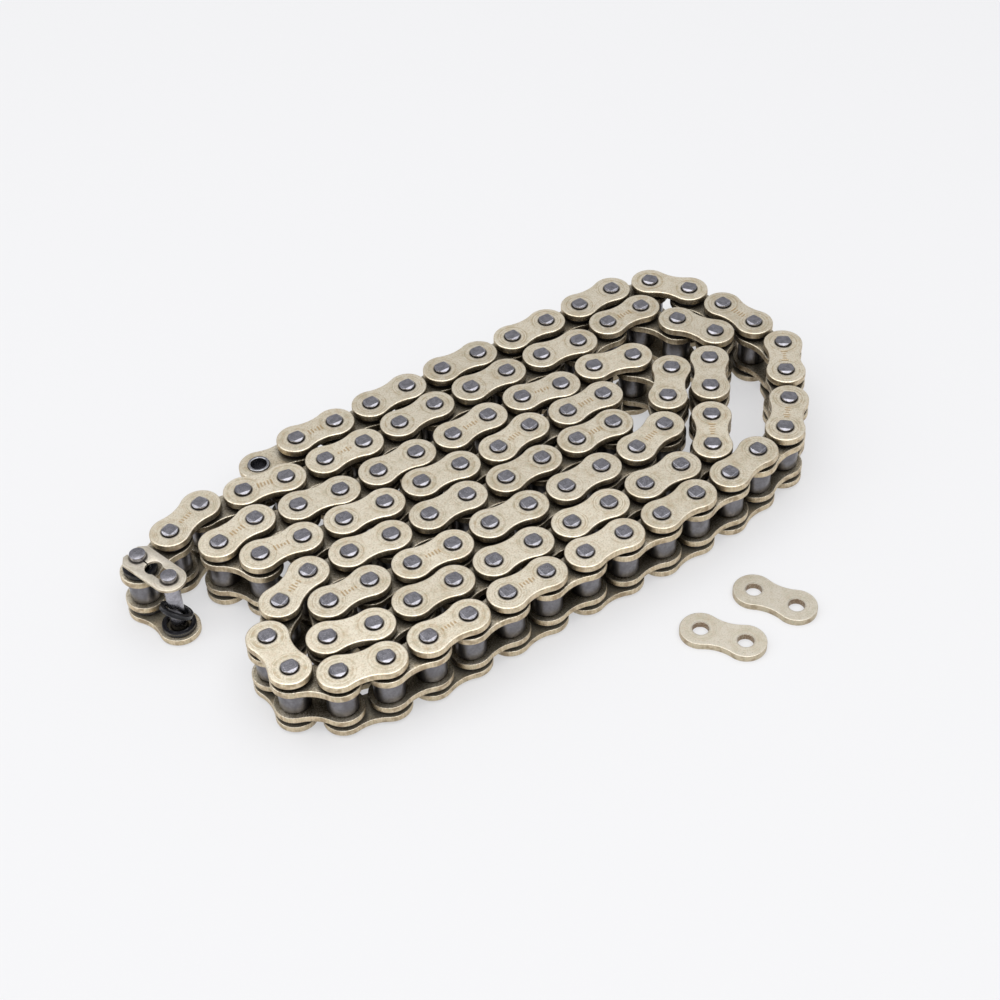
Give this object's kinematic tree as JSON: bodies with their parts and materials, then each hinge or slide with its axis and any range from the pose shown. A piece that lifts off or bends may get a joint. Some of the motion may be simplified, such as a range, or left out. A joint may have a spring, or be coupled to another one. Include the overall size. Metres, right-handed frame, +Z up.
{
  "type": "motorcycle drive chain",
  "caption": "Sealed roller drive chain for a motorcycle, folded on its side, with an open connecting link, its spring clip and loose spare connecting plates.",
  "frame": {"origin": "under the middle of the whole, on the surface that the chain lies on", "axes": "+Z up, along the pins; +X along the rows of the folded strand, from its tail towards the outer loop; +Y towards the row that ends in the open bush"},
  "size_m": [0.2108, 0.1376, 0.0225],
  "materials": {
    "plate": "champagne nickel plating over steel, satin, with a faint round tool mark at each pin",
    "loose_plate": "champagne nickel plating, plain and a little greyer",
    "clip": "champagne nickel plating over spring steel",
    "pin": "bare hardened steel, blue-grey, staked ends",
    "bush": "bare ground steel",
    "roller": "bare rolled steel",
    "seal": "black rubber, a little greasy"
  },
  "bodies": {
    "folded_strand": {"strand_front_row_right_half": "plate", "strand_front_row_left_half": "plate", "strand_fifth_row": "plate", "strand_fourth_row": "plate", "strand_third_row": "plate", "strand_right_turn": "plate", "strand_sixth_row": "plate", "strand_seventh_row": "plate", "strand_inner_loop": "plate", "strand_second_row": "plate"},
    "outer_link_17": {"outer_link_17": "plate"},
    "inner_link_16": {"inner_link_16": "plate"},
    "outer_link_15": {"outer_link_15": "plate"},
    "inner_link_14": {"inner_link_14": "plate"},
    "outer_link_13": {"outer_link_13": "plate"},
    "inner_link_12": {"inner_link_12": "plate"},
    "outer_link_11": {"outer_link_11": "plate"},
    "inner_link_10": {"inner_link_10": "plate"},
    "outer_link_09": {"outer_link_09": "plate"},
    "inner_link_08": {"inner_link_08": "plate"},
    "outer_link_07": {"outer_link_07": "plate"},
    "inner_link_06": {"inner_link_06": "plate"},
    "outer_link_05": {"outer_link_05": "plate"},
    "inner_link_04": {"inner_link_04": "plate"},
    "outer_link_03": {"outer_link_03": "plate"},
    "inner_link_02": {"inner_link_02": "plate"},
    "open_end_outer_link": {"open_end_lower_outer_plate": "plate", "open_end_upper_outer_plate": "plate", "open_end_first_pin": "pin", "open_end_second_pin": "pin"},
    "open_end_inner_link": {"open_end_lower_inner_plate": "plate", "open_end_upper_inner_plate": "plate", "open_end_first_bush": "bush", "open_end_second_bush": "bush"},
    "open_end_first_roller": {"open_end_first_roller": "roller"},
    "open_end_second_roller": {"open_end_second_roller": "roller"},
    "tail_outer_link": {"tail_lower_outer_plate": "plate", "tail_upper_outer_plate": "plate", "tail_first_pin": "pin", "tail_second_pin": "pin", "tail_first_lower_seal": "seal", "tail_first_upper_seal": "seal", "tail_second_lower_seal": "seal", "tail_second_upper_seal": "seal"},
    "tail_inner_link": {"tail_lower_inner_plate": "plate", "tail_upper_inner_plate": "plate", "tail_first_bush": "bush", "tail_second_bush": "bush"},
    "tail_first_roller": {"tail_first_roller": "roller"},
    "tail_second_roller": {"tail_second_roller": "roller"},
    "connecting_link": {"connecting_lower_plate": "plate", "connecting_inner_pin": "pin", "connecting_inner_lower_seal": "seal", "connecting_free_pin": "pin", "connecting_free_lower_seal": "seal", "connecting_inner_upper_seal": "seal", "spring_clip": "clip"},
    "loose_seal": {"loose_seal": "seal"},
    "loose_connecting_plate_far": {"loose_connecting_plate_far": "loose_plate"},
    "loose_connecting_plate_near": {"loose_connecting_plate_near": "loose_plate"}
  },
  "joints": [
    {"name": "pin_18_turn", "type": "hinge", "parent": "folded_strand", "child": "outer_link_17", "pos_m": [0.07574, -0.01688, 0.0105], "axis": [0, 0, 1], "range_deg": [-30, 0]},
    {"name": "pin_17_turn", "type": "hinge", "parent": "outer_link_17", "child": "inner_link_16", "pos_m": [0.08472, -0.0079, 0.0105], "axis": [0, 0, 1], "range_deg": [-30, 0]},
    {"name": "pin_16_turn", "type": "hinge", "parent": "inner_link_16", "child": "outer_link_15", "pos_m": [0.09218, 0.00237, 0.0105], "axis": [0, 0, 1], "range_deg": [-30, 0]},
    {"name": "pin_15_turn", "type": "hinge", "parent": "outer_link_15", "child": "inner_link_14", "pos_m": [0.09965, 0.01265, 0.0105], "axis": [0, 0, 1], "range_deg": [-30, 0]},
    {"name": "pin_14_turn", "type": "hinge", "parent": "inner_link_14", "child": "outer_link_13", "pos_m": [0.09876, 0.02532, 0.0105], "axis": [0, 0, 1], "range_deg": [-30, 0]},
    {"name": "pin_13_turn", "type": "hinge", "parent": "outer_link_13", "child": "inner_link_12", "pos_m": [0.09677, 0.03786, 0.0105], "axis": [0, 0, 1], "range_deg": [-30, 0]},
    {"name": "pin_12_turn", "type": "hinge", "parent": "inner_link_12", "child": "outer_link_11", "pos_m": [0.09306, 0.05001, 0.0105], "axis": [0, 0, 1], "range_deg": [-30, 0]},
    {"name": "pin_11_turn", "type": "hinge", "parent": "outer_link_11", "child": "inner_link_10", "pos_m": [0.0856, 0.06028, 0.0105], "axis": [0, 0, 1], "range_deg": [-30, 0]},
    {"name": "pin_10_turn", "type": "hinge", "parent": "inner_link_10", "child": "outer_link_09", "pos_m": [0.07352, 0.0642, 0.0105], "axis": [0, 0, 1], "range_deg": [-30, 0]},
    {"name": "pin_09_turn", "type": "hinge", "parent": "outer_link_09", "child": "inner_link_08", "pos_m": [0.06084, 0.06354, 0.0105], "axis": [0, 0, 1], "range_deg": [-30, 0]},
    {"name": "pin_08_turn", "type": "hinge", "parent": "inner_link_08", "child": "outer_link_07", "pos_m": [0.04814, 0.06332, 0.0105], "axis": [0, 0, 1], "range_deg": [-30, 0]},
    {"name": "pin_07_turn", "type": "hinge", "parent": "outer_link_07", "child": "inner_link_06", "pos_m": [0.03544, 0.0631, 0.0105], "axis": [0, 0, 1], "range_deg": [-30, 0]},
    {"name": "pin_06_turn", "type": "hinge", "parent": "inner_link_06", "child": "outer_link_05", "pos_m": [0.02274, 0.06288, 0.0105], "axis": [0, 0, 1], "range_deg": [-30, 0]},
    {"name": "pin_05_turn", "type": "hinge", "parent": "outer_link_05", "child": "inner_link_04", "pos_m": [0.01004, 0.0631, 0.0105], "axis": [0, 0, 1], "range_deg": [-30, 0]},
    {"name": "pin_04_turn", "type": "hinge", "parent": "inner_link_04", "child": "outer_link_03", "pos_m": [-0.00265, 0.06265, 0.0105], "axis": [0, 0, 1], "range_deg": [-30, 0]},
    {"name": "pin_03_turn", "type": "hinge", "parent": "outer_link_03", "child": "inner_link_02", "pos_m": [-0.01534, 0.06221, 0.0105], "axis": [0, 0, 1], "range_deg": [-30, 0]},
    {"name": "pin_02_turn", "type": "hinge", "parent": "inner_link_02", "child": "open_end_outer_link", "pos_m": [-0.02803, 0.06177, 0.0105], "axis": [0, 0, 1], "range_deg": [-45, 0]},
    {"name": "pin_01_turn", "type": "hinge", "parent": "open_end_outer_link", "child": "open_end_inner_link", "pos_m": [-0.04073, 0.06199, 0.0105], "axis": [0, 0, 1], "range_deg": [-45, 0]},
    {"name": "tail_outer_link_turn", "type": "hinge", "parent": "folded_strand", "child": "tail_outer_link", "pos_m": [-0.07607, 0.054, 0.0105], "axis": [0, 0, 1], "range_deg": [-60, 0]},
    {"name": "tail_inner_link_turn", "type": "hinge", "parent": "tail_outer_link", "child": "tail_inner_link", "pos_m": [-0.08784, 0.04924, 0.0105], "axis": [0, 0, 1], "range_deg": [-60, 10]},
    {"name": "connecting_link_turn", "type": "hinge", "parent": "tail_inner_link", "child": "connecting_link", "pos_m": [-0.0997, 0.04469, 0.0105], "axis": [0, 0, 1], "range_deg": [-90, 10]},
    {"name": "open_end_first_roller_spin", "type": "hinge", "parent": "open_end_inner_link", "child": "open_end_first_roller", "pos_m": [-0.05343, 0.06221, 0.0105], "axis": [0, 0, 1], "continuous": true},
    {"name": "open_end_second_roller_spin", "type": "hinge", "parent": "open_end_inner_link", "child": "open_end_second_roller", "pos_m": [-0.04073, 0.06199, 0.0105], "axis": [0, 0, 1], "continuous": true},
    {"name": "tail_first_roller_spin", "type": "hinge", "parent": "tail_inner_link", "child": "tail_first_roller", "pos_m": [-0.08784, 0.04924, 0.0105], "axis": [0, 0, 1], "continuous": true},
    {"name": "tail_second_roller_spin", "type": "hinge", "parent": "tail_inner_link", "child": "tail_second_roller", "pos_m": [-0.0997, 0.04469, 0.0105], "axis": [0, 0, 1], "continuous": true},
    {"name": "loose_seal_slide", "type": "slide", "parent": "connecting_link", "child": "loose_seal", "axis": [0, 0, 1], "range_m": [0, 0.0078]},
    {"name": "far_plate_lift", "type": "slide", "parent": "folded_strand", "child": "loose_connecting_plate_far", "axis": [0, 0, 1], "range_m": [0, 0.03]},
    {"name": "near_plate_lift", "type": "slide", "parent": "folded_strand", "child": "loose_connecting_plate_near", "axis": [0, 0, 1], "range_m": [0, 0.03]}
  ]
}
